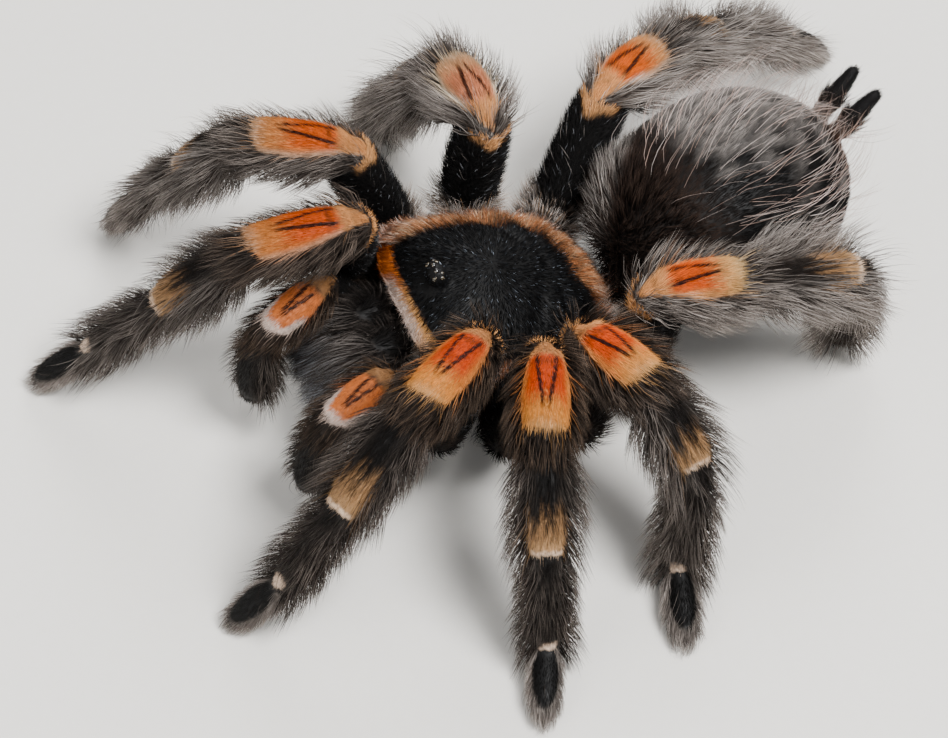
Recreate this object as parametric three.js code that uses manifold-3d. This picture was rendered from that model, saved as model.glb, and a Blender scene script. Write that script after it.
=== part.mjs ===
// Mexican red-knee tarantula, adult female, standing with its legs drawn in: a life-size museum model.
// Millimetres, +Z up. The spider faces -Y and its left side is +X. Every solid is the outline of the
// body with its coat of hair, and neighbouring pieces are parted by a thin cut at each joint.
import * as THREE from 'three';
import { mergeVertices } from 'three/addons/utils/BufferGeometryUtils.js';
import Module from 'manifold-3d';

const wasm = await Module();
wasm.setup();

// ---- driving dimensions ----
const CARAPACE_LENGTH = 20.9;
const CARAPACE_FRONT = 11.2;      // its front edge ahead of the point between the leg bases
const CARAPACE_WIDTH = 18.4;
const CARAPACE_FRONT_WIDTH = 15.0;
const PROSOMA_HEIGHT = 11.0;      // carapace margin above the floor, at the middle of the shield
const PROSOMA_PITCH = 15;         // degrees, front raised
const PROSOMA_ROLL = -6;          // degrees, left side lowered
const ABDOMEN_SIZE = new THREE.Vector3(20.7, 25.0, 18.4);
const ABDOMEN_CENTRE = new THREE.Vector3(-1.15, 21.6, 12.6);
const ABDOMEN_TURN = 7;           // degrees, its hind end swings to the right
const ABDOMEN_LIFT = 4;           // degrees, its hind end is raised
const FOOT_HEIGHT = 0.9;          // middle of a foot's end above the floor
const CUT = 0.32;                 // width of the parting cut between two pieces
const LIMB_SIDES = 10;

// Length of each segment from joint to joint, by leg pair and for the palps.
const SEGMENTS = ['femur', 'patella', 'tibia', 'metatarsus', 'tarsus'];
const PALP_SEGMENTS = ['femur', 'patella', 'tibia', 'tarsus'];
const LENGTHS = {
  1: { femur: 13.9, patella: 9.3, tibia: 10.4, metatarsus: 9.8, tarsus: 6.7 },
  2: { femur: 13.4, patella: 8.6, tibia: 9.1, metatarsus: 9.7, tarsus: 6.6 },
  3: { femur: 11.9, patella: 7.7, tibia: 7.8, metatarsus: 10.9, tarsus: 6.6 },
  4: { femur: 14.6, patella: 7.8, tibia: 11.2, metatarsus: 12.8, tarsus: 6.6 },
  palp: { femur: 6.9, patella: 7.3, tibia: 7.0, tarsus: 6.4 },
};

// Half-widths out to the tips of the hair, at the thickest place of each segment.
const HALF_WIDTHS = {
  1: { coxa: 2.3, femur: 2.4, patella: 3.2, tibia: 3.5, metatarsus: 2.8, tarsus: 1.9 },
  2: { coxa: 2.5, femur: 2.4, patella: 3.1, tibia: 3.5, metatarsus: 2.8, tarsus: 1.9 },
  3: { coxa: 2.4, femur: 2.4, patella: 3.0, tibia: 3.7, metatarsus: 3.1, tarsus: 1.9 },
  4: { coxa: 2.4, femur: 2.4, patella: 3.1, tibia: 3.9, metatarsus: 3.4, tarsus: 1.9 },
  palp: { coxa: 1.7, femur: 1.6, patella: 2.2, tibia: 2.3, tarsus: 1.9 },
};

// Thickness of a segment at its near end, middle and far end, as shares of its half-width.
const PROFILES = {
  coxa: [0.95, 1.0, 0.9],
  femur: [0.8, 1.0, 0.9],
  patella: [0.86, 1.0, 0.9],
  tibia: [0.86, 1.0, 0.82],
  metatarsus: [0.86, 0.98, 0.7],
  tarsus: [0.86, 1.0, 0.5],
};

// Where each femur leaves the body, on the prosoma: out to the side, back from its middle, and below
// the carapace margin.
const HIPS = {
  1: [9.9, -9.8, -5.4],
  2: [11.8, -3.8, -5.2],
  3: [12.5, 2.8, -4.3],
  4: [8.8, 9.2, -3.2],
  palp: [5.55, -10.3, -5.8],
};

// Pose of each limb: the compass bearing (degrees from +X towards +Y) and the slope (degrees, up is
// positive) of each segment in turn. A leg's metatarsus has no slope here: it is worked out so that the
// foot meets the floor.
const POSES = {
  left_leg1: { bearings: [54, -59, -75, -101, -108], slopes: [76, 4, -42, null, -49] },
  left_leg2: { bearings: [45, -27, -22, -14, -27], slopes: [77, -5, -44, null, -13] },
  left_leg3: { bearings: [154, 18, 12, -40, -21], slopes: [86, 5, -35, null, -13] },
  left_leg4: { bearings: [8, 80, 84, 150, 150], slopes: [80, -4, -13, null, -24] },
  right_leg1: { bearings: [-22, -101, -120, -121, -116], slopes: [61, -7, -47, null, -43] },
  right_leg2: { bearings: [-96, -119, -140, -151, -153], slopes: [68, 4, -47, null, -58] },
  right_leg3: { bearings: [74, 178, 203, 194, 150], slopes: [82, -6, -49, null, -15] },
  right_leg4: { bearings: [108, 118, 117, 104, 104], slopes: [63, -9, -28, null, -45] },
  left_palp: { bearings: [-68, -69, -110, 140], slopes: [62, -5, -80, -40] },
  right_palp: { bearings: [-73, -70, -99, 150], slopes: [52, -8, -83, -40] },
};

// ---- colours of the coat ----
const COLOURS = {
  black: '#0d0b0b',
  smoke: '#4a423c',
  orange: '#d9601c',
  brown: '#2b221e',
  horn: '#0b0909',
};

const model = new THREE.Group();

function addPiece(name, geometry, colour, roughness = 0.85) {
  const material = new THREE.MeshStandardMaterial({ color: colour, roughness, metalness: 0 });
  const mesh = new THREE.Mesh(geometry, material);
  mesh.name = name;
  model.add(mesh);
}

const radians = THREE.MathUtils.degToRad;

function direction(bearing, slope) {
  const level = Math.cos(radians(slope));
  return new THREE.Vector3(
    level * Math.cos(radians(bearing)),
    level * Math.sin(radians(bearing)),
    Math.sin(radians(slope)),
  );
}

// Leaves only the positions of a geometry, with its shared corners joined, so that it is one closed skin.
function closed(geometry) {
  geometry.deleteAttribute('normal');
  geometry.deleteAttribute('uv');
  return mergeVertices(geometry, 1e-5);
}

// Moves every corner of a closed geometry by a function from its old place to its new one.
function reshape(geometry, place) {
  const positions = geometry.attributes.position;
  const corner = new THREE.Vector3();
  for (let i = 0; i < positions.count; i += 1) {
    corner.fromBufferAttribute(positions, i);
    const moved = place(corner);
    positions.setXYZ(i, moved.x, moved.y, moved.z);
  }
  geometry.computeVertexNormals();
  return geometry;
}

// ---- joins and cuts ----
function toSolid(geometry) {
  return new wasm.Manifold(new wasm.Mesh({
    numProp: 3,
    vertProperties: new Float32Array(geometry.attributes.position.array),
    triVerts: new Uint32Array(geometry.index.array),
  }));
}

function toGeometry(solid) {
  const mesh = solid.getMesh();
  const geometry = new THREE.BufferGeometry();
  geometry.setAttribute('position', new THREE.BufferAttribute(mesh.vertProperties, 3));
  geometry.setIndex(new THREE.BufferAttribute(mesh.triVerts, 1));
  geometry.computeVertexNormals();
  return geometry;
}

// ---- the prosoma's own frame ----
const prosomaTurn = new THREE.Matrix4().makeRotationX(radians(-PROSOMA_PITCH));
prosomaTurn.multiply(new THREE.Matrix4().makeRotationY(radians(-PROSOMA_ROLL)));
const prosoma = new THREE.Matrix4().makeTranslation(0, 0, PROSOMA_HEIGHT).multiply(prosomaTurn);

function onProsoma(x, y, z) {
  return new THREE.Vector3(x, y, z).applyMatrix4(prosoma);
}

// ---- limbs ----
// A parabola through the thickness at the near end, middle and far end of a segment.
function thickness([near, middle, far], t) {
  return near * (1 - t) * (1 - 2 * t) + 4 * middle * t * (1 - t) + far * t * (2 * t - 1);
}

// One tapered length of a limb. Both its ends are cut along the joint planes, so that two
// neighbours meet squarely however sharply the limb bends, and the slant dies away along the length.
const SLANT_REACH = 0.36;
function limbPiece({ from, to, across, halfWidth, profile, fromPlane, toPlane, rings = 4, deep = 1 }) {
  const along = to.clone().sub(from);
  const length = along.length();
  along.normalize();
  const side = across.clone().addScaledVector(along, -across.dot(along)).normalize();
  const under = side.clone().cross(along);
  const slant = (spoke, plane) => -spoke.dot(plane) / along.dot(plane);
  const trimFrom = CUT / 2 / along.dot(fromPlane);
  const trimTo = CUT / 2 / along.dot(toPlane);
  const tube = closed(new THREE.CylinderGeometry(1, 1, 1, LIMB_SIDES, rings));
  return reshape(tube, (corner) => {
    const t = corner.y + 0.5;
    const radius = halfWidth * thickness(profile, t);
    const spoke = side.clone().multiplyScalar(corner.x * radius);
    spoke.addScaledVector(under, corner.z * radius * deep);
    const near = Math.max(0, 1 - t / SLANT_REACH);
    const far = Math.max(0, 1 - (1 - t) / SLANT_REACH);
    const run = trimFrom + t * (length - trimFrom - trimTo)
      + near * slant(spoke, fromPlane) + far * slant(spoke, toPlane);
    return from.clone().addScaledVector(along, run).add(spoke);
  });
}

function bisector(a, b) {
  return a.clone().add(b).normalize();
}

// The joints of a limb from hip to tip, and the direction of each segment.
function limbJoints(hip, lengths, names, pose) {
  const joints = [hip];
  const directions = [];
  names.forEach((name, i) => {
    const start = joints[i];
    let slope = pose.slopes[i];
    if (slope === null) {
      const lastDrop = lengths.tarsus * Math.sin(radians(pose.slopes[i + 1]));
      const drop = FOOT_HEIGHT - start.z - lastDrop;
      slope = THREE.MathUtils.radToDeg(Math.asin(drop / lengths[name]));
    }
    const heading = direction(pose.bearings[i], slope);
    directions.push(heading);
    joints.push(start.clone().addScaledVector(heading, lengths[name]));
  });
  return { joints, directions };
}

const COXA_FLATNESS = 0.85;       // height of a coxa as a share of its width
const COXA_ROOT = 0.36;           // where a coxa starts, as a share of the way out to the hip
const SEGMENT_COLOURS = {
  femur: COLOURS.black,
  patella: COLOURS.orange,
  tibia: COLOURS.smoke,
  metatarsus: COLOURS.smoke,
  tarsus: COLOURS.brown,
};
const coxae = [];

function addLimb(name, kind, sign) {
  const pose = POSES[name];
  const names = kind === 'palp' ? PALP_SEGMENTS : SEGMENTS;
  const lengths = LENGTHS[kind];
  const widths = HALF_WIDTHS[kind];
  const [out, back, height] = HIPS[kind];
  const hip = onProsoma(sign * out, back, height);
  const root = onProsoma(sign * out * COXA_ROOT, back * COXA_ROOT, height);
  const { joints, directions } = limbJoints(hip, lengths, names, pose);
  const outward = hip.clone().sub(root).normalize();
  const planes = directions.map((heading, i) => bisector(i ? directions[i - 1] : outward, heading));
  const level = direction(pose.bearings[1], 0);
  const across = new THREE.Vector3(-level.y, level.x, 0);
  names.forEach((segment, i) => {
    const last = i === names.length - 1;
    let geometry = limbPiece({
      from: joints[i],
      to: joints[i + 1],
      across: i < 2 ? across : new THREE.Vector3(-directions[i].y, directions[i].x, 0),
      halfWidth: widths[segment],
      profile: PROFILES[segment],
      fromPlane: planes[i],
      toPlane: last ? directions[i] : planes[i + 1],
    });
    if (last && kind !== 'palp') {
      geometry = toGeometry(toSolid(geometry).trimByPlane([0, 0, 1], 0));
    }
    addPiece(`${name}_${segment}`, geometry, SEGMENT_COLOURS[segment]);
  });
  coxae.push(toSolid(limbPiece({
    from: root,
    to: hip,
    across: new THREE.Vector3(-outward.y, outward.x, 0),
    halfWidth: widths.coxa,
    profile: PROFILES.coxa,
    fromPlane: outward,
    toPlane: planes[0],
    rings: 3,
    deep: COXA_FLATNESS,
  })));
}

for (const kind of [1, 2, 3, 4]) {
  addLimb(`left_leg${kind}`, kind, 1);
  addLimb(`right_leg${kind}`, kind, -1);
}
addLimb('left_palp', 'palp', 1);
addLimb('right_palp', 'palp', -1);

// ---- sternum: the underside of the prosoma, with the coxae and the mouth parts ----
const STERNUM_SIZE = new THREE.Vector3(6.8, 7.4, 2.5);
const STERNUM_DROP = -5.6;
const sternumPlate = reshape(closed(new THREE.SphereGeometry(1, 16, 8)), (corner) => (
  onProsoma(
    corner.x * STERNUM_SIZE.x,
    corner.y * STERNUM_SIZE.y,
    corner.z * STERNUM_SIZE.z + STERNUM_DROP,
  )
));
addPiece('sternum', toGeometry(coxae.reduce((all, coxa) => all.add(coxa), toSolid(sternumPlate))),
  COLOURS.brown);

// ---- carapace: the shield, a low dome over its own outline, with a raised head ----
const FRONT_BLUNTNESS = 5.0;
const FRONT_TAPER = 3.4;          // how late the shield narrows towards its front corners
const FRONT_FULLNESS = 0.72;      // how far the dome's height is carried forward, less is further
const SHIELD_TOP = 4.8;
const HEAD_RISE = 1.2;
const HEAD_PLACE = -0.6;          // along the shield, from -1 at the front to 1 at the back
const HEAD_LENGTH = 0.38;
const HEAD_HALF_WIDTH = 4.6;
// How far the shield reaches to the front (negative y) or to the back.
function halfLength(y) {
  return y < 0 ? CARAPACE_FRONT : CARAPACE_LENGTH - CARAPACE_FRONT;
}
// Distance from between the leg bases to the shield's margin, for a bearing given by x and y.
function marginRadius(x, y) {
  const power = y < 0 ? FRONT_BLUNTNESS : 2;
  let narrow = 1;
  if (y < 0) {
    const share = CARAPACE_FRONT_WIDTH / CARAPACE_WIDTH;
    narrow = 1 - (1 - share) * Math.pow(-y, FRONT_TAPER) / THREE.MathUtils.lerp(0.45, 1, -y);
  }
  const wide = CARAPACE_WIDTH / 2 * narrow;
  const sum = Math.pow(Math.abs(x) / wide, power) + Math.pow(Math.abs(y) / halfLength(y), power);
  return Math.pow(sum, -1 / power);
}
// From the middle of its underside out to the margin and over the top: share of the margin, and height.
const shieldProfile = [
  [0, -0.6], [0.6, -0.7], [0.93, -0.7], [1.0, -0.1], [0.99, 0.9],
  [0.87, 2.5], [0.64, 3.8], [0.35, 4.6], [0, SHIELD_TOP],
].map(([across, up]) => new THREE.Vector2(across, up));
function shieldPlace(corner) {
  // The lathe turns about its own +Y, which becomes +Z here.
  const reach = Math.hypot(corner.x, corner.z);
  if (reach < 1e-6) {
    return new THREE.Vector3(0, 0, corner.y);
  }
  const x = corner.x / reach;
  const y = -corner.z / reach;
  const fullness = THREE.MathUtils.lerp(1, FRONT_FULLNESS, Math.max(0, -y));
  const margin = marginRadius(x, y) * Math.pow(reach, fullness);
  const head = Math.exp(-Math.pow((y * margin / halfLength(y) - HEAD_PLACE) / HEAD_LENGTH, 2))
    * Math.exp(-Math.pow(x * margin / HEAD_HALF_WIDTH, 2));
  const rise = corner.y > 0 ? HEAD_RISE * head * corner.y / SHIELD_TOP : 0;
  return new THREE.Vector3(x * margin, y * margin, corner.y + rise);
}
const shield = reshape(closed(new THREE.LatheGeometry(shieldProfile, 28)), (corner) => (
  shieldPlace(corner).applyMatrix4(prosoma)
));
addPiece('carapace', shield, COLOURS.black, 0.55);

// ---- eye tubercle: a low mound near the front margin ----
const TUBERCLE = { width: 2.6, length: 2.0, height: 1.1, back: -8.7, up: 4.75, nod: 0.42 };
const mound = [[0, 0], [0.92, 0], [1, 0.25], [0.82, 0.72], [0.45, 0.96], [0, 1]]
  .map(([across, up]) => new THREE.Vector2(across, up));
addPiece('eye_tubercle', reshape(closed(new THREE.LatheGeometry(mound, 12)), (corner) => {
  const ahead = corner.z * TUBERCLE.length / 2;
  return onProsoma(
    corner.x * TUBERCLE.width / 2,
    TUBERCLE.back - ahead,
    TUBERCLE.up + corner.y * TUBERCLE.height - ahead * TUBERCLE.nod,
  );
}), COLOURS.brown, 0.5);

// ---- chelicerae: the two jaws in front, each with its fang folded underneath ----
const JAW = { halfWidth: 1.6, deep: 1.45, inset: 1.77, start: -11.8, startUp: -3.4, reach: 5.6, droop: 38 };
const FANG = { thick: 0.7, length: 4.2, curl: 50, sides: 8, tuck: 1.7, under: 3.1 };
for (const [side, sign] of [['left', 1], ['right', -1]]) {
  const jawRoot = onProsoma(sign * JAW.inset, JAW.start, JAW.startUp);
  const fall = radians(JAW.droop);
  const jawTip = onProsoma(
    sign * (JAW.inset + 0.1),
    JAW.start - JAW.reach * Math.cos(fall),
    JAW.startUp - JAW.reach * Math.sin(fall),
  );
  const ahead = jawTip.clone().sub(jawRoot).normalize();
  const square = onProsoma(0, -1, 0).sub(onProsoma(0, 0, 0));
  const acrossJaw = onProsoma(1, 0, 0).sub(onProsoma(0, 0, 0));
  addPiece(`${side}_chelicera`, limbPiece({
    from: jawRoot,
    to: jawTip,
    across: acrossJaw,
    halfWidth: JAW.halfWidth,
    profile: [1, 1.02, 0.62],
    fromPlane: square,
    toPlane: ahead,
    rings: 5,
    deep: JAW.deep,
  }), COLOURS.brown);

  // A curved, tapering horn that starts at the jaw's tip and curls back under it.
  const fangRoot = onProsoma(
    sign * (JAW.inset + 0.1),
    JAW.start - JAW.reach * Math.cos(fall) + FANG.tuck,
    JAW.startUp - JAW.reach * Math.sin(fall) - FANG.under,
  );
  const horn = closed(new THREE.CylinderGeometry(0.34, 1, 1, FANG.sides, 5));
  addPiece(`${side}_fang`, reshape(horn, (corner) => {
    const t = corner.y + 0.5;
    const turn = radians(FANG.curl) * t;
    const run = FANG.length * Math.sin(turn) / radians(FANG.curl);
    const fallen = FANG.length * (1 - Math.cos(turn)) / radians(FANG.curl);
    const local = new THREE.Vector3(
      corner.x * FANG.thick,
      run + corner.z * FANG.thick * Math.sin(turn),
      -fallen + corner.z * FANG.thick * Math.cos(turn),
    );
    return local.applyMatrix4(prosomaTurn).add(fangRoot);
  }), COLOURS.horn, 0.25);
}

// ---- abdomen, pedicel and spinnerets ----
const abdomenTurn = new THREE.Matrix4().makeRotationZ(radians(ABDOMEN_TURN));
abdomenTurn.multiply(new THREE.Matrix4().makeRotationX(radians(ABDOMEN_LIFT)));
const abdomenFrame = new THREE.Matrix4().makeTranslation(ABDOMEN_CENTRE).multiply(abdomenTurn);
const HIND_SWELL = 0.08;          // the abdomen is fuller behind its middle
const FRONT_BLUNT = 0.78;         // and blunter in front
const egg = reshape(closed(new THREE.SphereGeometry(1, 22, 15)), (corner) => {
  const along = corner.y < 0 ? -Math.pow(-corner.y, FRONT_BLUNT) : corner.y;
  const full = 1 + HIND_SWELL * along - HIND_SWELL * along * along;
  return new THREE.Vector3(
    corner.x * full * ABDOMEN_SIZE.x / 2,
    along * ABDOMEN_SIZE.y / 2,
    corner.z * full * ABDOMEN_SIZE.z / 2,
  ).applyMatrix4(abdomenFrame);
});
addPiece('abdomen', egg, COLOURS.black);

const waistFrom = onProsoma(0, 8.0, -3.6);
const waistTo = new THREE.Vector3(0, -ABDOMEN_SIZE.y * 0.462, -ABDOMEN_SIZE.z * 0.25)
  .applyMatrix4(abdomenFrame);
const waistWay = waistTo.clone().sub(waistFrom).normalize();
addPiece('pedicel', limbPiece({
  from: waistFrom,
  to: waistTo,
  across: new THREE.Vector3(1, 0, 0),
  halfWidth: 1.3,
  profile: [1, 0.85, 1],
  fromPlane: waistWay,
  toPlane: waistWay,
  rings: 2,
}), COLOURS.brown);

const SPINNERET = { length: 4.6, halfWidth: 1.05, apart: 1.4, up: 3.4, spread: 5, slope: 44 };
for (const [side, sign] of [['left', 1], ['right', -1]]) {
  const root = new THREE.Vector3(sign * SPINNERET.apart, ABDOMEN_SIZE.y * 0.48, SPINNERET.up)
    .applyMatrix4(abdomenFrame);
  const way = direction(90 + ABDOMEN_TURN - sign * SPINNERET.spread, SPINNERET.slope);
  addPiece(`${side}_spinneret`, limbPiece({
    from: root,
    to: root.clone().addScaledVector(way, SPINNERET.length),
    across: new THREE.Vector3(1, 0, 0),
    halfWidth: SPINNERET.halfWidth,
    profile: [0.9, 1.0, 0.55],
    fromPlane: way,
    toPlane: way,
  }), COLOURS.black);
}

// ---- the origin is on the floor, under the middle of the model ----
const bounds = new THREE.Box3().setFromObject(model, true);
const middle = bounds.getCenter(new THREE.Vector3());
model.position.set(-middle.x, -middle.y, -bounds.min.z);

export default model;
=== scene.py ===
# Mexican red-knee tarantula: a life-size museum model of the standing spider, dressed over the fixed frame.
# The spider faces -Y and its left side is +X. Shapes are worked out in millimetres and written in metres.
import math

import bmesh
import bpy
import numpy as np
from mathutils import Matrix, Vector
from mathutils.kdtree import KDTree


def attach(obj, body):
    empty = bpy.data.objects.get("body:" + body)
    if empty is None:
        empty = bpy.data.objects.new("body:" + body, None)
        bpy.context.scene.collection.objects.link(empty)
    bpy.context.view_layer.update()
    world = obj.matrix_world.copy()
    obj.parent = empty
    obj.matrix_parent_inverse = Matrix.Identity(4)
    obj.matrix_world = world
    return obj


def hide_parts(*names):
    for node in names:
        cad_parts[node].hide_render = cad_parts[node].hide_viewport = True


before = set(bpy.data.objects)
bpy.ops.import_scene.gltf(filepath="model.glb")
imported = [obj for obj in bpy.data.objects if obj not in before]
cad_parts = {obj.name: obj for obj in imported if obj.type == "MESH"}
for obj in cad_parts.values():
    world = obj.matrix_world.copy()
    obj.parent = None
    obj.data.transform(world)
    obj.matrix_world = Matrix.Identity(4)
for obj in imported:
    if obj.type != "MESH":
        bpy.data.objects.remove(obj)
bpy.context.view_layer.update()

# ------------------------------------------------------------------ floor, light and camera
# A plain pale floor of matt paper, lit by three square soft lamps and a faint even sky. The camera
# looks down on the left side of the spider from 30 cm, on a lens that fills the view with it.
MM = 0.001
CAMERA_TARGET = (4.16, -8.36, 8.0)
CAMERA_BEARING = 62.0
CAMERA_RISE = 51.0
CAMERA_ROLL = 3.4
CAMERA_DISTANCE = 300.0
LENS = 131.9
FLOOR_SIZE = 900.0


def linear(code):
    """An sRGB hex code as linear red, green and blue."""
    parts = [int(code[i:i + 2], 16) / 255 for i in (1, 3, 5)]
    return tuple(c / 12.92 if c <= 0.04045 else ((c + 0.055) / 1.055) ** 2.4 for c in parts)


def add_node(tree, kind, settings=None, inputs=None):
    """Adds a node; inputs are numbers, colours or another node's output."""
    node = tree.nodes.new(kind)
    for name, value in (settings or {}).items():
        setattr(node, name, value)
    for name, value in (inputs or {}).items():
        if isinstance(value, bpy.types.NodeSocket):
            tree.links.new(value, node.inputs[name])
        else:
            node.inputs[name].default_value = value
    return node


def new_material(name, shader_inputs):
    """A material with one Principled shader; gives back the material, its tree and the shader."""
    material = bpy.data.materials.new(name)
    material.use_nodes = True
    tree = material.node_tree
    tree.nodes.clear()
    shader = add_node(tree, "ShaderNodeBsdfPrincipled", None, shader_inputs)
    add_node(tree, "ShaderNodeOutputMaterial", None, {"Surface": shader.outputs["BSDF"]})
    return material, tree, shader


def fine_noise(tree, scale, detail):
    """Fine solid noise in the piece's own space, as a value from 0 to 1."""
    place = add_node(tree, "ShaderNodeTexCoord").outputs["Object"]
    noise = add_node(tree, "ShaderNodeTexNoise", None, {"Vector": place, "Scale": scale, "Detail": detail})
    return noise.outputs["Fac"]


def spread(tree, value, low, high, from_low=0.0, from_high=1.0):
    """Spreads a value from its own range over another."""
    node = add_node(tree, "ShaderNodeMapRange", None, {
        "Value": value, "From Min": from_low, "From Max": from_high, "To Min": low, "To Max": high})
    return node.outputs["Result"]


def new_piece(name, bm, material, smooth=True):
    """Writes a mesh drawn in millimetres as an object in metres, with its place in its mesh."""
    bmesh.ops.scale(bm, vec=(MM, MM, MM), verts=bm.verts)
    mesh = bpy.data.meshes.new(name)
    bm.to_mesh(mesh)
    bm.free()
    mesh.materials.append(material)
    mesh.polygons.foreach_set("use_smooth", [smooth] * len(mesh.polygons))
    piece = bpy.data.objects.new(name, mesh)
    bpy.context.collection.objects.link(piece)
    return piece


def facing_frame(x, y, z):
    """The turn that takes the three axes to three directions."""
    return Matrix((x, y, z)).transposed().to_4x4()


bearing, rise, roll = (math.radians(a) for a in (CAMERA_BEARING, CAMERA_RISE, CAMERA_ROLL))
back = Vector((math.sin(bearing) * math.cos(rise), -math.cos(bearing) * math.cos(rise), math.sin(rise)))
level_right = Vector((math.cos(bearing), math.sin(bearing), 0))
level_up = back.cross(level_right)
right = level_right * math.cos(roll) + level_up * math.sin(roll)
up = level_up * math.cos(roll) - level_right * math.sin(roll)
camera_data = bpy.data.cameras.new("camera")
camera_data.lens = LENS
camera_data.sensor_width = 36.0
camera_data.clip_start = 0.01
camera_data.clip_end = 10.0
camera = bpy.data.objects.new("camera", camera_data)
camera_place = (Vector(CAMERA_TARGET) + back * CAMERA_DISTANCE) * MM
camera.matrix_world = Matrix.Translation(camera_place) @ facing_frame(right, up, back)
bpy.context.collection.objects.link(camera)
bpy.context.scene.camera = camera


def lamp(name, direction, distance, size, power):
    """A square soft lamp that faces the spider from a direction."""
    data = bpy.data.lights.new(name, "AREA")
    data.size = size
    data.energy = power
    lamp_object = bpy.data.objects.new(name, data)
    away = Vector(direction).normalized()
    lamp_object.matrix_world = (
        Matrix.Translation(away * distance) @ away.to_track_quat("Z", "Y").to_matrix().to_4x4()
    )
    bpy.context.collection.objects.link(lamp_object)


lamp("key_softbox", (0.7, 0.3, 1.5), 0.55, 0.20, 6.0)
lamp("fill_softbox", (0.3, -1.2, 0.9), 0.60, 0.40, 1.7)
lamp("rim_softbox", (-1.0, 0.6, 0.9), 0.60, 0.30, 2.4)
world = bpy.data.worlds.new("studio")
world.use_nodes = True
world.node_tree.nodes["Background"].inputs["Color"].default_value = (*linear("#f2f4f8"), 1)
world.node_tree.nodes["Background"].inputs["Strength"].default_value = 0.36
bpy.context.scene.world = world

paper, paper_tree, paper_shader = new_material("matt_background_paper", {"Roughness": 0.9})
paper_tone = add_node(paper_tree, "ShaderNodeMix", {"data_type": "RGBA"}, {
    "Factor": fine_noise(paper_tree, 900.0, 3.0),
    "A": (*linear("#e6e2db"), 1), "B": (*linear("#eae7e1"), 1)})
paper_tree.links.new(paper_tone.outputs["Result"], paper_shader.inputs["Base Color"])
floor_mesh = bmesh.new()
bmesh.ops.create_grid(floor_mesh, x_segments=1, y_segments=1, size=FLOOR_SIZE)
floor = new_piece("studio_floor", floor_mesh, paper, smooth=False)

# ------------------------------------------------------------------ skin
# The spider's cuticle: one unbroken hide over the legs, palps, jaws, shield and abdomen, thin and
# dark, drawn in at each joint. It lies under the hair by the coat's depth. The animal is moulted
# and mounted whole, so nothing is fixed to it but the horn and the eyes.
LEGS = [f"{side}_leg{number}" for side in ("left", "right") for number in (1, 2, 3, 4)]
PALPS = ["left_palp", "right_palp"]
LEG_SEGMENTS = ["femur", "patella", "tibia", "metatarsus", "tarsus"]
PALP_SEGMENTS = ["femur", "patella", "tibia", "tarsus"]
CAP_SIDES = 10
# Half-widths of the bare limb at the thickest place of each segment.
LEG_FLESH = {"femur": 2.3, "patella": 2.3, "tibia": 2.0, "metatarsus": 1.6, "tarsus": 1.35}
PALP_FLESH = {"femur": 1.3, "patella": 1.75, "tibia": 1.6, "tarsus": 1.35}
COXA_FLESH = 1.85
PALP_COXA_FLESH = 1.25
SKIN_VOXEL = 0.34


def poles(node, spokes):
    """The corners of a frame node where that many edges meet: the middles of its end caps, in mm."""
    bm = bmesh.new()
    bm.from_mesh(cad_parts[node].data)
    bmesh.ops.remove_doubles(bm, verts=bm.verts, dist=1e-6)
    found = [v.co / MM for v in bm.verts if len(v.link_edges) == spokes]
    bm.free()
    return found


def tube(bm, path, radii, sides=14, across=(0, 0, 1), flat=1.0):
    """Draws a closed tube: a ring is drawn out from place to place along the path and capped."""
    path = [Vector(p) for p in path]
    start = bmesh.ops.create_circle(bm, cap_ends=True, segments=sides, radius=1.0)
    ring = start["verts"]
    before = Matrix.Identity(4)
    for i, (place, radius) in enumerate(zip(path, radii)):
        ahead = (path[min(i + 1, len(path) - 1)] - path[max(i - 1, 0)]).normalized()
        side = Vector(across) - ahead * ahead.dot(Vector(across))
        side = side.normalized() if side.length > 1e-3 else ahead.orthogonal().normalized()
        over = ahead.cross(side)
        stretch = Matrix.Diagonal((radius, radius * flat, 1, 1))
        there = Matrix.Translation(place) @ facing_frame(side, over, ahead) @ stretch
        if i:
            edges = {e for v in ring for e in v.link_edges if e.other_vert(v) in ring}
            drawn = bmesh.ops.extrude_edge_only(bm, edges=list(edges))
            ring = [v for v in drawn["geom"] if isinstance(v, bmesh.types.BMVert)]
        bmesh.ops.transform(bm, matrix=there @ before.inverted(), verts=ring)
        before = there
    end_edges = {e for v in ring for e in v.link_edges if e.other_vert(v) in ring}
    bmesh.ops.contextual_create(bm, geom=list(end_edges))


# The joints of each limb, from the hip to the tip, taken from the caps of the frame's segments.
joints = {}
for limb in LEGS + PALPS:
    names = LEG_SEGMENTS if limb in LEGS else PALP_SEGMENTS
    chain = []
    for segment in names:
        ends = poles(f"{limb}_{segment}", CAP_SIDES)
        if not chain:
            ends.sort(key=lambda p: p.z)
        elif (ends[0] - chain[-1]).length > (ends[1] - chain[-1]).length:
            ends.reverse()
        if chain:
            chain[-1] = (chain[-1] + ends[0]) / 2
        else:
            chain.append(ends[0])
        chain.append(ends[1])
    joints[limb] = chain

# The shield's own frame: up its middle, and back from the eyes.
SHIELD_SIDES = 28
MOUND_SIDES = 12
SHIELD_UNDER = -0.6
MOUND_PLACE = (-8.7, 4.75)
shield_poles = sorted(poles("carapace", SHIELD_SIDES), key=lambda p: p.z)
shield_up = (shield_poles[1] - shield_poles[0]).normalized()
shield_origin = shield_poles[0] - shield_up * SHIELD_UNDER
mound_low = min(poles("eye_tubercle", MOUND_SIDES), key=lambda p: p.z)
shield_back = (mound_low - shield_origin - shield_up * MOUND_PLACE[1]).normalized() * -1
shield_left = shield_back.cross(shield_up).normalized()
shield_frame = Matrix.Translation(shield_origin) @ facing_frame(shield_left, shield_back, shield_up)

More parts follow.
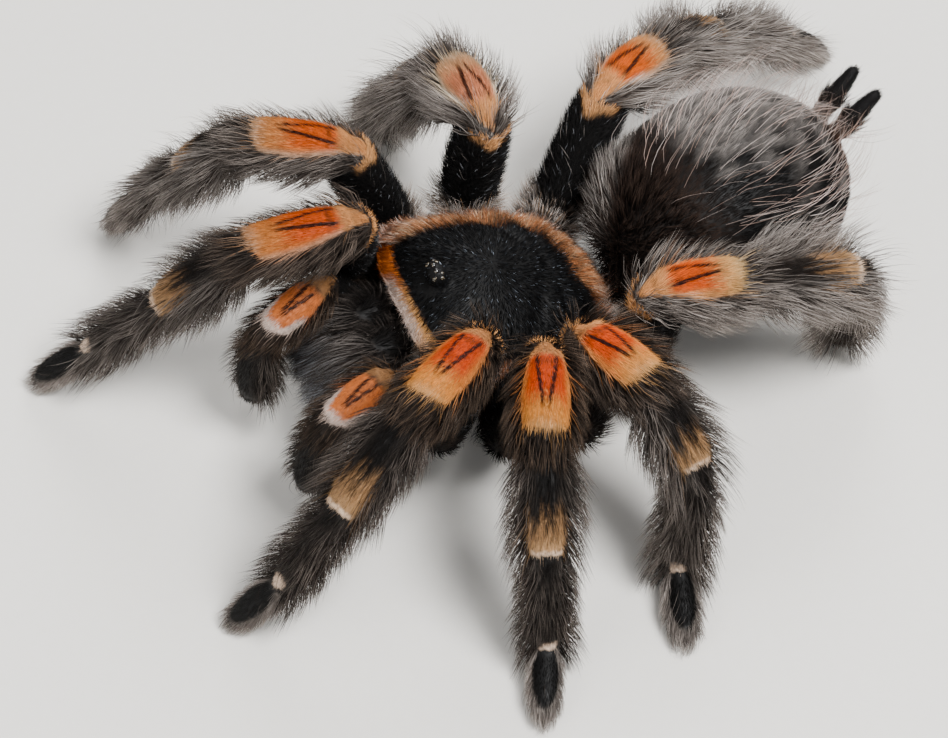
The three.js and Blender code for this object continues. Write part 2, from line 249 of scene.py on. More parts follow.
# The abdomen's own frame: its long axis runs from the waist to the spinnerets.
ABDOMEN_SIDES = 22
abdomen_poles = sorted(poles("abdomen", ABDOMEN_SIDES), key=lambda p: p.y)
abdomen_back = (abdomen_poles[1] - abdomen_poles[0]).normalized()
abdomen_left = abdomen_back.cross(Vector((0, 0, 1))).normalized()
abdomen_up = abdomen_left.cross(abdomen_back)
abdomen_centre = (abdomen_poles[0] + abdomen_poles[1]) / 2
abdomen_frame = Matrix.Translation(abdomen_centre) @ facing_frame(abdomen_left, abdomen_back, abdomen_up)

flesh = bmesh.new()
SEGMENT_STATIONS = (-0.05, 0.0, 0.1, 0.3, 0.55, 0.8, 0.93, 1.0, 1.05)
SEGMENT_SWELL = {
    "femur": (0.5, 0.74, 0.84, 0.96, 1.0, 0.97, 0.9, 0.84, 0.5),
    "patella": (0.45, 0.74, 0.86, 0.98, 1.0, 0.95, 0.86, 0.76, 0.45),
    "tibia": (0.5, 0.78, 0.9, 1.0, 1.0, 0.92, 0.84, 0.76, 0.5),
    "metatarsus": (0.5, 0.86, 0.96, 1.0, 0.98, 0.9, 0.82, 0.72, 0.5),
    "tarsus": (0.5, 0.82, 0.92, 1.0, 1.0, 0.9, 0.74, 0.58, 0.26),
}
SECOND_LEG_SHARE = 0.98


def frame_side(direction, fallback):
    """Level line across a limb; a limb that stands upright takes the fallback."""
    level = Vector((-direction.y, direction.x, 0))
    return level.normalized() if level.length > 0.25 else fallback


# Each stretch of limb is kept as a bone: its ends, its sideways line, its half-width and its names.
bones = []
for limb, chain in joints.items():
    names = LEG_SEGMENTS if limb in LEGS else PALP_SEGMENTS
    widths = LEG_FLESH if limb in LEGS else PALP_FLESH
    share = SECOND_LEG_SHARE if limb.endswith("leg2") else 1.0
    hip = chain[0]
    hip_on_shield = shield_frame.inverted() @ hip
    root = shield_frame @ Vector((hip_on_shield.x * 0.3, hip_on_shield.y * 0.3, hip_on_shield.z))
    outward = (hip - root).normalized()
    knee_way = chain[2] - chain[1]
    knee_side = Vector((-knee_way.y, knee_way.x, 0)).normalized()
    coxa_width = COXA_FLESH if limb in LEGS else PALP_COXA_FLESH
    coxa_side = frame_side(outward, knee_side)
    tube(flesh, [root, root.lerp(hip, 0.5), root.lerp(hip, 0.86), hip, hip + outward * 0.9],
         [coxa_width * 1.1, coxa_width, coxa_width * 0.86, coxa_width * 0.95, coxa_width * 0.5],
         across=coxa_side, flat=0.9)
    bones.append((limb, "coxa", root, hip, coxa_side, coxa_width))
    for i, segment in enumerate(names):
        near, far = chain[i], chain[i + 1]
        way = (far - near).normalized()
        side = knee_side if i < 2 else frame_side(way, knee_side)
        width = widths[segment] * share
        tube(flesh, [near.lerp(far, t) for t in SEGMENT_STATIONS],
             [width * swell for swell in SEGMENT_SWELL[segment]], across=side)
        bones.append((limb, segment, near, far, side, width))

# The shield: a copy of its solid, let in by the depth of its velvet, with the pit and the grooves
# that mark where the muscles hold it from inside.
VELVET = 0.45
FRINGE = 1.0
GROOVE_DEPTH = 0.42
GROOVE_WIDTH = 0.5
GROOVE_START, GROOVE_END = 0.6, 8.5
PIT_SIZE = (1.3, 0.45)
PIT_DEPTH = 1.3
PIT_PLACE = 2.4
GROOVE_BEARINGS = (-128, -152, 180, 152, 128, -95, 95, -60, 60)
shield = bmesh.new()
shield.from_mesh(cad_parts["carapace"].data)
bmesh.ops.scale(shield, vec=(1 / MM,) * 3, verts=shield.verts)
bmesh.ops.remove_doubles(shield, verts=shield.verts, dist=1e-3)
bmesh.ops.subdivide_edges(shield, edges=shield.edges, cuts=3, use_grid_fill=True, smooth=0.6)
for vert in shield.verts:
    place = shield_frame.inverted() @ vert.co
    reach = math.hypot(place.x, place.y)
    if reach > 1e-3:
        inset = FRINGE * min(1, reach / 9) * (1 - 0.55 * min(1, max(0, (-place.y - 5) / 3)))
        place.x *= (reach - inset) / reach
        place.y *= (reach - inset) / reach
    if place.z > 0:
        place.z -= VELVET * min(1, place.z)
        away = Vector((place.x, place.y - PIT_PLACE))
        groove = math.exp(-((away.x / PIT_SIZE[0]) ** 2 + (away.y / PIT_SIZE[1]) ** 2)) * PIT_DEPTH
        for groove_bearing in GROOVE_BEARINGS:
            groove_turn = math.radians(groove_bearing)
            line = Vector((math.sin(groove_turn), -math.cos(groove_turn)))
            along = away.dot(line)
            if GROOVE_START < along < GROOVE_END:
                miss = abs(away.x * line.y - away.y * line.x)
                groove = max(groove, math.exp(-(miss / GROOVE_WIDTH) ** 2) * min(1, along / 2) * 0.8)
        place.z -= GROOVE_DEPTH * groove
    vert.co = shield_frame @ place
shield_copy = bpy.data.meshes.new("shield_copy")
shield.to_mesh(shield_copy)
shield.free()
flesh.from_mesh(shield_copy)
bpy.data.meshes.remove(shield_copy)


def egg(bm, frame_matrix, centre, size, swell=0.0, blunt=1.0, rings=20):
    """A rounded form with its long axis on Y, fuller behind its middle and blunter in front."""
    made = bmesh.ops.create_uvsphere(bm, u_segments=rings * 2, v_segments=rings, radius=1.0)
    for vert in made["verts"]:
        x, y, z = vert.co
        y = -((-y) ** blunt) if y < 0 else y
        full = 1 + swell * y - swell * y * y
        place = Vector((x * full * size[0], y * size[1], z * full * size[2])) + Vector(centre)
        vert.co = frame_matrix @ place


STERNUM = (6.2, 7.0, 2.0)
HIP_FLESH = (7.4, 8.2, 3.0)
egg(flesh, shield_frame, (0, 0, -5.7), STERNUM)
egg(flesh, shield_frame, (0, -0.2, -3.0), HIP_FLESH)
MOUND_SIZE = (1.25, 0.95, 1.0)
MOUND_NOD = math.radians(20)
MOUND_SINK = 0.25
mound_frame = shield_frame @ Matrix.Translation((0, MOUND_PLACE[0], MOUND_PLACE[1] - MOUND_SINK))
mound_frame = mound_frame @ Matrix.Rotation(MOUND_NOD, 4, "X")
egg(flesh, mound_frame, (0, 0, 0), MOUND_SIZE)
ABDOMEN_FLESH = (9.5, 11.7, 8.4)
ABDOMEN_SWELL = 0.08
ABDOMEN_BLUNT = 0.78
egg(flesh, abdomen_frame, (0, 0, 0), ABDOMEN_FLESH, ABDOMEN_SWELL, ABDOMEN_BLUNT)
# The narrow waist runs on into both parts of the body.
waist = sorted(poles("pedicel", CAP_SIDES), key=lambda p: p.y)
tube(flesh, [waist[0] - abdomen_back * 2, waist[0], waist[1], waist[1] + abdomen_back * 2],
     [1.1, 1.0, 1.0, 1.2], across=(1, 0, 0))

# The two jaws stand out in front of the shield, arched above and blunt in front. The soft collar of the
# fang swells out under the end of each.
FANG_SIDES = 8
JAW_HALF_WIDTH = 1.55
JAW_HALF_HEIGHT = 2.1
jaws = []
for limb_side in ("left", "right"):
    ends = sorted(poles(f"{limb_side}_chelicera", CAP_SIDES), key=lambda p: -p.y)
    way = (ends[1] - ends[0]).normalized()
    path = [ends[0] - way * 1.6, ends[0] + way * 0.4, ends[0].lerp(ends[1], 0.4),
            ends[0].lerp(ends[1], 0.7), ends[0].lerp(ends[1], 0.9), ends[1] + way * 0.05]
    arch = [0.0, 0.1, 0.25, 0.1, -0.2, -0.45]
    tube(flesh, [p + shield_up * a for p, a in zip(path, arch)],
         [JAW_HALF_WIDTH * r for r in (0.8, 0.95, 1.0, 0.96, 0.8, 0.42)],
         sides=20, across=shield_left, flat=JAW_HALF_HEIGHT / JAW_HALF_WIDTH)
    fang_root = min(poles(f"{limb_side}_fang", FANG_SIDES), key=lambda p: (p - ends[1]).length)
    above_fang = fang_root.lerp(ends[0].lerp(ends[1], 0.78), 0.4)
    tube(flesh, [ends[0].lerp(ends[1], 0.72), above_fang, fang_root], [1.3, 1.15, 0.8],
         sides=20, across=shield_left)
    jaws.append((limb_side, ends[0], ends[1]))

# The long hind spinnerets, each a finger of three joints.
FINGER_STATIONS = (-0.25, 0.0, 0.28, 0.33, 0.4, 0.6, 0.66, 0.72, 0.95, 1.0)
FINGER_WIDTHS = (0.8, 0.9, 0.88, 0.74, 0.82, 0.78, 0.64, 0.7, 0.55, 0.28)
fingers = []
for limb_side in ("left", "right"):
    ends = poles(f"{limb_side}_spinneret", CAP_SIDES)
    ends.sort(key=lambda p: (p - abdomen_poles[0]).length)
    tube(flesh, [ends[0].lerp(ends[1], t) for t in FINGER_STATIONS], FINGER_WIDTHS, across=(1, 0, 0))
    fingers.append((limb_side, ends[0], ends[1]))

# One hide is drawn over all these forms, and its meetings are softened.
bmesh.ops.recalc_face_normals(flesh, faces=flesh.faces)
rough = bpy.data.meshes.new("rough_flesh")
flesh.to_mesh(rough)
flesh.free()
form = bpy.data.objects.new("form", rough)
bpy.context.collection.objects.link(form)
hide = form.modifiers.new("hide", "REMESH")
hide.mode = "VOXEL"
hide.voxel_size = SKIN_VOXEL
soften = form.modifiers.new("soften", "SMOOTH")
soften.factor = 0.5
soften.iterations = 5
skin_mesh = bpy.data.meshes.new_from_object(form.evaluated_get(bpy.context.evaluated_depsgraph_get()))
bpy.data.objects.remove(form)
bpy.data.meshes.remove(rough)
skin_mesh.transform(Matrix.Diagonal((MM, MM, MM, 1)))
skin_mesh.name = "skin"
skin_mesh.polygons.foreach_set("use_smooth", [True] * len(skin_mesh.polygons))
cuticle, cuticle_tree, cuticle_shader = new_material("velvety_dark_cuticle", {"Specular IOR Level": 0.2})
skin_mesh.materials.append(cuticle)
skin = bpy.data.objects.new("skin", skin_mesh)
bpy.context.collection.objects.link(skin)
skin_nodes = [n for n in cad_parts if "fang" not in n]
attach(skin, "root")
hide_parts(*skin_nodes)

# Every point of the hide is found on a bone of the limbs or on one of the body's rounded forms, as a
# share along it and an angle round it from its upper side. Hide and hair are coloured by the same rules.
JAW, FINGER, SHIELD, ABDOMEN, UNDERSIDE = "jaw", "finger", "shield", "abdomen", "underside"
JAW_REACH = 1.6
FINGER_REACH = 0.75
SHIELD_FORM = (8.5, 10.2, 4.9)
UNDER_FORM = (7.2, 8.0, 6.6)
UNDER_DROP = 2.0
for name, near, far in jaws:
    bones.append((f"{name}_jaw", JAW, near + shield_back, far, shield_left, JAW_REACH))
for name, near, far in fingers:
    bones.append((f"{name}_finger", FINGER, near, far, Vector((1, 0, 0)), FINGER_REACH))
PROFILE_SHARE = np.array([0.0, 0.1, 0.35, 0.6, 0.85, 1.0])
PROFILE_WIDTH = np.array([0.78, 0.88, 1.0, 1.0, 0.88, 0.74])


def local(points, matrix):
    """Points in a form's own frame."""
    inverse = np.array(matrix.inverted())
    return points @ inverse[:3, :3].T + inverse[:3, 3]


def find_places(points):
    """For points in mm: which form each lies on, its share along it and its angle round it."""
    count = len(points)
    nearest = np.full(count, 1e9)
    form = np.zeros(count, int)
    share = np.zeros(count)
    angle = np.zeros(count)
    for index, (_, _, near, far, side, width) in enumerate(bones):
        start, end, across = np.array(near), np.array(far), np.array(side)
        way = end - start
        length = np.linalg.norm(way)
        way = way / length
        across = across - way * (across @ way)
        across = across / np.linalg.norm(across)
        over = np.cross(way, across)
        offset = points - start
        along = offset @ way / length
        t = np.clip(along, 0, 1)
        off = offset - np.outer(t * length, way)
        miss = np.linalg.norm(off, axis=1) / (width * np.interp(t, PROFILE_SHARE, PROFILE_WIDTH))
        closer = miss < nearest
        nearest[closer] = miss[closer]
        form[closer] = index
        share[closer] = t[closer]
        angle[closer] = np.arctan2(off @ across, off @ over)[closer]
    shield_points = local(points, shield_frame)
    abdomen_points = local(points, abdomen_frame)
    above = shield_points[:, 2] > SHIELD_UNDER
    rounded = (
        (shield_points / SHIELD_FORM, above),
        (abdomen_points / ABDOMEN_FLESH, np.full(count, True)),
        ((shield_points + (0, 0, UNDER_DROP)) / UNDER_FORM, ~above),
    )
    for index, (scaled, allowed) in enumerate(rounded, len(bones)):
        miss = np.linalg.norm(scaled, axis=1)
        closer = (miss < nearest) & allowed
        nearest[closer] = miss[closer]
        form[closer] = index
        share[closer] = 0.5 + 0.5 * scaled[closer, 1]
        angle[closer] = np.arctan2(scaled[closer, 0], scaled[closer, 2])
    return form, share, angle, shield_points, abdomen_points


FORM_OWNER = [bone[0] for bone in bones] + ["shield", "abdomen", "underside"]
FORM_PART = np.array([bone[1] for bone in bones] + [SHIELD, ABDOMEN, UNDERSIDE])
PALP_FORM = np.array(["palp" in owner for owner in FORM_OWNER])


def dye(code):
    """A colour of hair or hide as one row, so that it blends with the rows of many hairs."""
    return np.array([linear(code)])


JET, SOOT, UMBER = dye("#060505"), dye("#15110f"), dye("#2c221c")
BROWN, SMOKE, ASH, FROST = dye("#43372f"), dye("#776b63"), dye("#aca29b"), dye("#e0d5cc")
FLAME, AMBER, GOLD, TAN = dye("#d54400"), dye("#e4660c"), dye("#ed9538"), dye("#b58a60")
STRAW, BLUSH, RUST = dye("#e8bd80"), dye("#ecd3c4"), dye("#a4622f")


def ramp(x, low, high):
    """Rises smoothly from 0 to 1 between two values."""
    t = np.clip((x - low) / (high - low), 0, 1)
    return t * t * (3 - 2 * t)


def mix(first, second, share):
    """Blends two dyes or numbers by a share for each point."""
    first, second = np.asarray(first, float), np.asarray(second, float)
    share = np.asarray(share, float)
    if share.ndim and 2 in (first.ndim, second.ndim):
        share = share[:, None]
    return first * (1 - share) + second * share


def coat_rules(part, t, angle, chance, pale, palp, bleached, on_shield, on_abdomen):
    """Root and tip colour, length (mm), lift (degrees) and hairs per square mm for one kind of part."""
    a = np.abs(angle)
    jitter = chance - 0.5
    wisp = 0.5 * np.sin(14 * angle + 1.7 * np.sin(6 * angle))
    near_fur = mix(dye("#241b16"), dye("#94867c"), ramp(chance, 0.1, 1.1))
    smoky = mix(near_fur, mix(SMOKE, FROST, ramp(chance, 0.0, 0.85)), pale)
    soot = mix(JET, BROWN, pale * 0.45)
    worn = mix(dye("#4b4039"), mix(TAN, FROST, ramp(chance, 0.15, 0.7)), np.clip(1.3 * pale - 0.1, 0, 1))
    if part == "femur":
        pointed = t + 0.04 * jitter + 0.07 * (1 - ramp(a, 0.1, 0.6))
        crescent = ramp(pointed, 0.9, 0.94) * (1 - ramp(a, 0.9, 1.3))
        belly = ramp(a, 1.9, 2.6)
        tuft = (1 - ramp(t, 0.1, 0.26)) * (chance > 0.2) * np.clip(pale * 2, 0.3, 1)
        # A few velvet tips on the thigh are pale grey: painted highlights, sparkles of light on the black
        # hair.
        tip = mix(mix(dye("#0c0a09"), dye("#8b8d92"), ramp(chance, 0.96, 0.99)), dye("#3a302a"), belly)
        tip = mix(mix(tip, mix(TAN, GOLD, 0.4), crescent), worn, tuft)
        root = mix(JET, TAN, crescent * 0.8)
        return root, tip, mix(mix(1.05, 2.2, belly), 2.4, tuft), mix(24, 55, tuft), mix(34, 16, belly)
    if part == "patella":
        half = 0.86 + 0.3 * ramp(t, 0.0, 0.5)
        end = t + (0.1 + 0.1 * palp) * (a / half) ** 2 + 0.03 * jitter
        patch = (1 - ramp(a + 0.08 * jitter, half - 0.05, half + 0.05)) * (1 - ramp(end, 0.93, 0.96))
        gold_end = np.maximum(ramp(t + 0.2 * jitter, 0.45, 0.72), ramp(a + 0.2 * jitter, 0.6, 1.0) * 0.75)
        far_colour = mix(GOLD, STRAW, np.clip(0.8 * pale + 0.5 * ramp(t, 0.75, 0.95), 0, 1))
        warm = mix(mix(FLAME, AMBER, np.clip(pale * 0.6 + bleached, 0, 1)), mix(AMBER, STRAW, 0.2), palp)
        colour = mix(warm, far_colour, gold_end * ~palp * (1 - 0.35 * ramp(bleached, 0.1, 0.35)))
        blush_end = ramp(t + 0.06 * jitter + 0.34 * ramp(a, 0.5, 1.0), 0.78, 0.85)
        colour = mix(colour, BLUSH, blush_end * palp)
        edge = np.maximum(ramp(a, half - 0.3, half), ramp(t + 0.15 * jitter, 0.8, 0.95))
        faded = np.clip(2.2 * bleached - 1.6, 0, 1) * (1 - edge) + np.clip(1.7 * bleached, 0, 1) * edge
        colour = mix(colour, mix(mix(STRAW, BLUSH, 0.6), dye("#ffe8c6"), ramp(bleached, 0.6, 0.9)), faded)
        start = 0.08 * palp
        colour = mix(colour, mix(TAN, GOLD, 0.3), (1 - ramp(t, 0.04 + start, 0.1 + start)) * 0.9)
        line = np.where(palp, mix(0.36, 0.05, t / 0.7), mix(0.47, 0.08, t / 0.72))
        stripe = 1 - ramp(np.abs(a - line), 0.055 + 0.015 * palp, 0.1 + 0.02 * palp)
        stripe = stripe * ramp(t, 0.05 + start, 0.1 + start) * (1 - ramp(t, 0.58, 0.74)) * patch
        groove = ramp(t, 0.12, 0.135) * (1 - ramp(t, 0.16, 0.175)) * (1 - ramp(a, 0.5, 0.8))
        colour = mix(colour, dye("#4a3018"), groove * 0.75)
        fur = mix(mix(dye("#221912"), dye("#75604f"), chance), smoky, pale)
        tip = mix(mix(fur, colour, patch), mix(dye("#2c100b"), dye("#6b3117"), bleached), stripe)
        root = mix(mix(soot, colour * (0.55 + 0.4 * bleached)[:, None], patch), dye("#12070a"), stripe)
        dark_start = palp * (1 - ramp(t, 0.12, 0.17))
        tip = mix(tip, dye("#6f573d"), dark_start * patch)
        length = mix(mix(3.2, 0.8, patch), 0.85 + 0.25 * palp, stripe)
        return root, tip, length, mix(40, 13, patch), mix(18, 58, patch)
    if part == "tibia":
        fan = 0.6 + 0.55 * t
        back = 1 - ramp(a + 0.3 * jitter + 0.15 * pale, 0.7, 1.05)
        past = ramp(t, 0.984, 0.99)
        band = ramp(t + 0.2 * wisp + 0.15 * jitter, 0.5, 0.78) * (1 - past)
        band = band * (1 - ramp(a + 0.15 * jitter, fan, fan + 0.2)) * ~palp
        band = band * (1 - 0.85 * ramp(np.abs(jitter), 0.36, 0.42))
        rim = ramp(t + 0.008 * jitter, 0.942, 0.95) * (1 - past) * (1 - ramp(a, 1.0, 1.15)) * ~palp
        tan = mix(TAN, STRAW, ramp(t, 0.6, 0.95) * 0.45)
        dark = back * 0.7 + 0.3 * (1 - ramp(a, 0.3, 0.5))
        tip = mix(mix(mix(smoky, SOOT, dark), tan, band), mix(STRAW, BLUSH, 0.75), rim)
        root = mix(mix(soot, TAN * 0.8, band), mix(STRAW, BLUSH, 0.5) * 0.9, rim)
        near_rim = ramp(t, 0.7, 0.94) * (1 - ramp(a, 1.1, 1.3))
        length = mix(mix(3.5 + 0.9 * t, 1.4, back), 1.1, ramp(band, 0, 0.4))
        length = mix(mix(length, 0.45, near_rim), 1.3, past)
        return root, tip, length, mix(mix(46, 16, back), 18, band), mix(18, 30, np.maximum(back, band))
    if part == "metatarsus":
        back = 1 - ramp(a + 0.2 * jitter + 0.3 * pale, 0.35, 0.85)
        spot = 1 - ramp(((t - 0.92) / 0.075) ** 2 + (a / 0.55) ** 2 + 0.2 * jitter, 0.85, 1.1)
        near_spot = ramp(t, 0.66, 0.86) * (1 - ramp(a, 0.7, 0.9))
        pad = ramp(a, 2.2, 2.6) * ramp(t, 0.3, 0.5)
        tip = mix(mix(smoky, SOOT, back * 0.4), mix(BLUSH, ASH, 0.25), spot)
        length = mix(mix(mix(2.6 + 1.5 * t, 1.9, back), 0.5, near_spot), 0.6, pad)
        lift = mix(mix(mix(46, 26, back), 16, near_spot), 55, pad)
        thick = mix(mix(20, 26, np.maximum(back, spot)), 34, pad)
        return mix(soot, mix(STRAW, BLUSH, 0.6), spot), mix(tip, UMBER, pad), length, lift, thick
    if part == "tarsus":
        oval = 1 - ramp(((t - 0.47) / 0.48) ** 2 + (a / 1.1) ** 2 + 0.3 * jitter, 0.75, 1.1)
        pad = ramp(a, 2.0, 2.4)
        rim = mix(smoky, mix(ASH, FROST, 0.7), 0.7 + 0.3 * ramp(t, 0.8, 0.95))
        tip = mix(mix(rim, dye("#0d0b0a"), oval), UMBER, pad)
        length = mix(mix(1.7, 0.6, oval), 0.5, pad)
        root = mix(mix(soot, SMOKE, 0.5), JET, oval)
        return root, tip, length, mix(mix(28, 16, oval), 60, pad), mix(mix(24, 50, oval), 40, pad)
    if part == "coxa":
        tuft = ramp(t, 0.4, 0.7) * (1 - ramp(a, 1.3, 2.0)) * (chance > 0.2)
        tip = mix(mix(dye("#2b2420"), dye("#3f342e"), tuft), RUST, palp * ramp(a, 2.2, 2.6) * 0.6)
        tip = mix(tip, worn, np.maximum(tuft, 0.3) * np.clip(1.5 * pale - 0.1, 0, 1))
        return mix(JET, UMBER, tuft * pale), tip, mix(1.5, 2.5, tuft), mix(34, 52, tuft), mix(18, 22, tuft)
    if part == JAW:
        # Streaks of pale hair run along the jaw; towards its front end their tips turn blue-grey, a painted
        # sheen of light.
        streak = ramp(chance + 0.4 * wisp, 0.35, 0.8)
        base = 1 - ramp(t, 0.12, 0.35)
        tip = mix(dye("#4a413b"), mix(ASH, dye("#a9adb3"), ramp(t, 0.2, 0.9)), streak * 0.9)
        tip = mix(tip, mix(SOOT, BROWN, chance * 0.6), base * 0.8)
        length = mix(mix(3.7, 3.2, t), 2.3, base)
        lift = mix(mix(40, 18, ramp(t, 0.1, 0.5)), 44, ramp(a, 0.5, 1.6))
        return mix(JET, SOOT, streak * (1 - base)), tip, length, mix(lift, 64, base), 36 + 34 * base
    if part == FINGER:
        return JET, dye("#0b0909"), 0.6, 22, 44
    if part == SHIELD:
        x, y, z = on_shield.T
        # The fringe's top is lower on the shield's left side, so black velvet stands where the orange hair
        # would be: painted shade, where that side lies in shadow.
        shaded_fringe_top = mix(3.1, 1.1, ramp(x, 1.0, 5.5))
        rim = 1 - ramp(z + 0.8 * jitter, shaded_fringe_top - 0.35, shaded_fringe_top + 0.35)
        front = 1 - ramp(y, -9.55, -9.15)
        rim = rim * (1 - front) * (1 - ramp(-y, 4.5, 6.5) * (1 - ramp(np.abs(x), 5.2, 6.2)))
        front = front * (1 - ramp(z + 0.2 * jitter, 1.55, 1.75)) * ramp(z, -0.3, 0.0)
        pale_fringe = mix(STRAW, BLUSH, 0.3 + 0.7 * ramp(2.9 - z, 0, 1.6))
        fringe = mix(dye("#b87448"), pale_fringe, ramp(chance, 0.15, 0.95))
        pink = ramp(x, -3.6, -2.2) * (1 - 0.7 * ramp(x, 2.4, 4.6)) * (1 - ramp(z, 0.95, 1.3))
        stripe = mix(mix(AMBER, GOLD, 0.3), mix(GOLD, STRAW, 0.5), ramp(x, -3.2, 0.5))
        stripe = mix(stripe, BLUSH, pink)
        edge = np.maximum(rim, front)
        colour = mix(fringe, stripe, front)
        # Painted highlights: some velvet tips are blue-grey, and a few short ones in clusters are near
        # white, as glints of light on the black velvet.
        glint = chance > 0.945
        cluster = ramp(np.sin(2.1 * x + y) * np.sin(1.7 * y - x), -0.6, 0.4)
        velvet = mix(dye("#060607"), dye("#3b4048"), ramp(chance, 0.8, 0.95))
        velvet = mix(velvet, dye("#c3cede"), glint * cluster)
        bare = 1 - ramp(np.hypot(x / 1.25, y - MOUND_PLACE[0]), 0.8, 1.1)
        length = mix(mix(mix(0.7, 0.4, np.maximum(bare, glint)), 2.0, rim), 0.95, front)
        density = mix(mix(52, 30, bare), 34, edge)
        return mix(JET, colour * 0.7, edge), mix(velvet, colour, edge), length, mix(22, 27, rim), density
    if part == ABDOMEN:
        x, y, z = (on_abdomen / ABDOMEN_FLESH).T
        mottle = 0.3 * np.sin(17 * x + 5 * y) * np.sin(14 * y - 6 * z + 2 * np.sin(9 * x))
        front = 1 - ramp(y, -0.55, -0.2)
        # Grey on the top, the right side and the rear, and in mottled patches on top: partly the bald patch
        # of shed hair, partly a painted sheen of light on the plush.
        sheen_and_bald_patch = ramp(z - 0.6 * x + 0.4 * y + mottle, 0.5, 1.15) * (1 - front)
        sheen_and_bald_patch = np.maximum(sheen_and_bald_patch, 0.3 * ramp(mottle, 0.0, 0.2) * ramp(y, -0.2, 0.3) * ramp(z, -0.1, 0.3))
        border = ramp(-0.62 * x - 0.78 * y, 0.74, 0.88) * ramp(z, -0.1, 0.25) * ramp(chance, 0.2, 0.7)
        collar = 1 - ramp(y, -0.8, -0.45)
        lungs = (1 - ramp(np.abs(np.abs(x) - 0.42), 0.12, 0.2)) * (1 - ramp(np.abs(y + 0.52), 0.1, 0.26))
        lungs = lungs * (1 - ramp(z, -0.75, -0.55))
        tip = mix(mix(dye("#0e0b0a"), dye("#a39b95"), sheen_and_bald_patch), dye("#33251d"), front)
        tip = mix(mix(tip, RUST, ramp(y, 0.8, 1.0) * 0.25), dye("#6b4a36"), lungs)
        tip = mix(tip, mix(ASH, FROST, chance), border)
        beside = ramp(np.sqrt(x * x + y * y + z * z), 1.05, 1.12) * ramp(y, 0.5, 0.8)
        tip = mix(tip, dye("#120d0b"), beside)
        longer = np.maximum(border, collar)
        length = mix(mix(mix(1.0, 0.5, lungs), mix(2.3, 3.1, collar), longer), 1.7, beside)
        return mix(JET, dye("#1d1a19"), sheen_and_bald_patch), tip, length, mix(24, 52, longer), mix(36, 20, longer)
    edge = ramp(on_shield[:, 2], -5.0, -3.5)
    return JET, mix(dye("#3d342e"), dye("#1f1a17"), edge), mix(1.05, 1.8, edge), 30, 22


# The spider's hair is worn pale on its hind and right legs, as a share.
FADED_LIMBS = {"right_leg1": 0.3, "right_leg2": 0.7, "right_leg3": 0.95, "right_leg4": 1.0,
               "left_leg3": 0.25, "left_leg4": 0.8}
FORM_PALE = np.array([FADED_LIMBS.get(owner, 0.08) for owner in FORM_OWNER])
# The orange of the right knees is bleached, as a share; the front feet and palps lean, in radians.
BLEACHED_KNEES = {"right_leg1": 0.3, "right_leg2": 0.4, "right_leg3": 0.85, "right_leg4": 0.5}
FORM_BLEACH = np.array([BLEACHED_KNEES.get(owner, 0.05) for owner in FORM_OWNER])
LEANING = {
    ("left_leg1", "tarsus"): 0.45, ("left_leg1", "metatarsus"): 0.45, ("left_leg1", "tibia"): 0.15,
    ("right_leg1", "tarsus"): 0.45, ("right_leg1", "metatarsus"): 0.45, ("right_leg1", "tibia"): 0.35,
    ("left_palp", "patella"): 0.25, ("right_palp", "patella"): 0.25, ("left_leg4", "tibia"): -0.4,
}
FORM_LEAN = np.array([LEANING.get(place, 0.0) for place in zip(FORM_OWNER, FORM_PART)])
RESULT_SHAPES = {"root": 3, "tip": 3, "length": 0, "lift": 0, "density": 0}


def coat_at(points, chance):
    """The coat's rules at points in mm on the hide, with the place of each point."""
    form, share, angle, on_shield, on_abdomen = find_places(points)
    result = {key: np.zeros((len(points), size)) if size else np.zeros(len(points))
              for key, size in RESULT_SHAPES.items()}
    for part in set(FORM_PART):
        here = FORM_PART[form] == part
        if here.any():
            kind = form[here]
            leant = (angle[here] - FORM_LEAN[kind] + np.pi) % (2 * np.pi) - np.pi
            values = coat_rules(part, share[here], leant, chance[here], FORM_PALE[kind], PALP_FORM[kind],
                                FORM_BLEACH[kind], on_shield[here], on_abdomen[here])
            for key, value in zip(RESULT_SHAPES, values):
                result[key][here] = value
    return form, share, angle, on_shield, on_abdomen, result


def mesh_corners(mesh):
    """A mesh's corners in mm, its corner normals and its triangles."""
    mesh.calc_loop_triangles()
    corners = np.empty(len(mesh.vertices) * 3)
    mesh.vertices.foreach_get("co", corners)
    normals = np.empty(len(mesh.vertices) * 3)
    mesh.vertices.foreach_get("normal", normals)
    triangles = np.empty(len(mesh.loop_triangles) * 3, np.int32)
    mesh.loop_triangles.foreach_get("vertices", triangles)
    return corners.reshape(-1, 3) / MM, normals.reshape(-1, 3), triangles.reshape(-1, 3)


def write_colours(mesh, name, colours):
    """Stores one linear colour for each corner of a mesh."""
    layer = mesh.color_attributes.new(name=name, type="FLOAT_COLOR", domain="POINT")
    layer.data.foreach_set("color", np.c_[colours, np.ones(len(colours))].astype(np.float32).ravel())


HAIR_SEED = 17
HIDE_ROOT, HIDE_TIP = 0.55, 0.15
random = np.random.default_rng(HAIR_SEED)
skin_corners, skin_normals, skin_triangles = mesh_corners(skin_mesh)
skin_rules = coat_at(skin_corners, random.uniform(0.3, 0.7, len(skin_corners)))[-1]
# The hide's colour is the coat's, dimmed, with the coat's painted sheen and painted shade included.
write_colours(skin_mesh, "marking_and_painted_light", skin_rules["root"] * HIDE_ROOT + skin_rules["tip"] * HIDE_TIP)
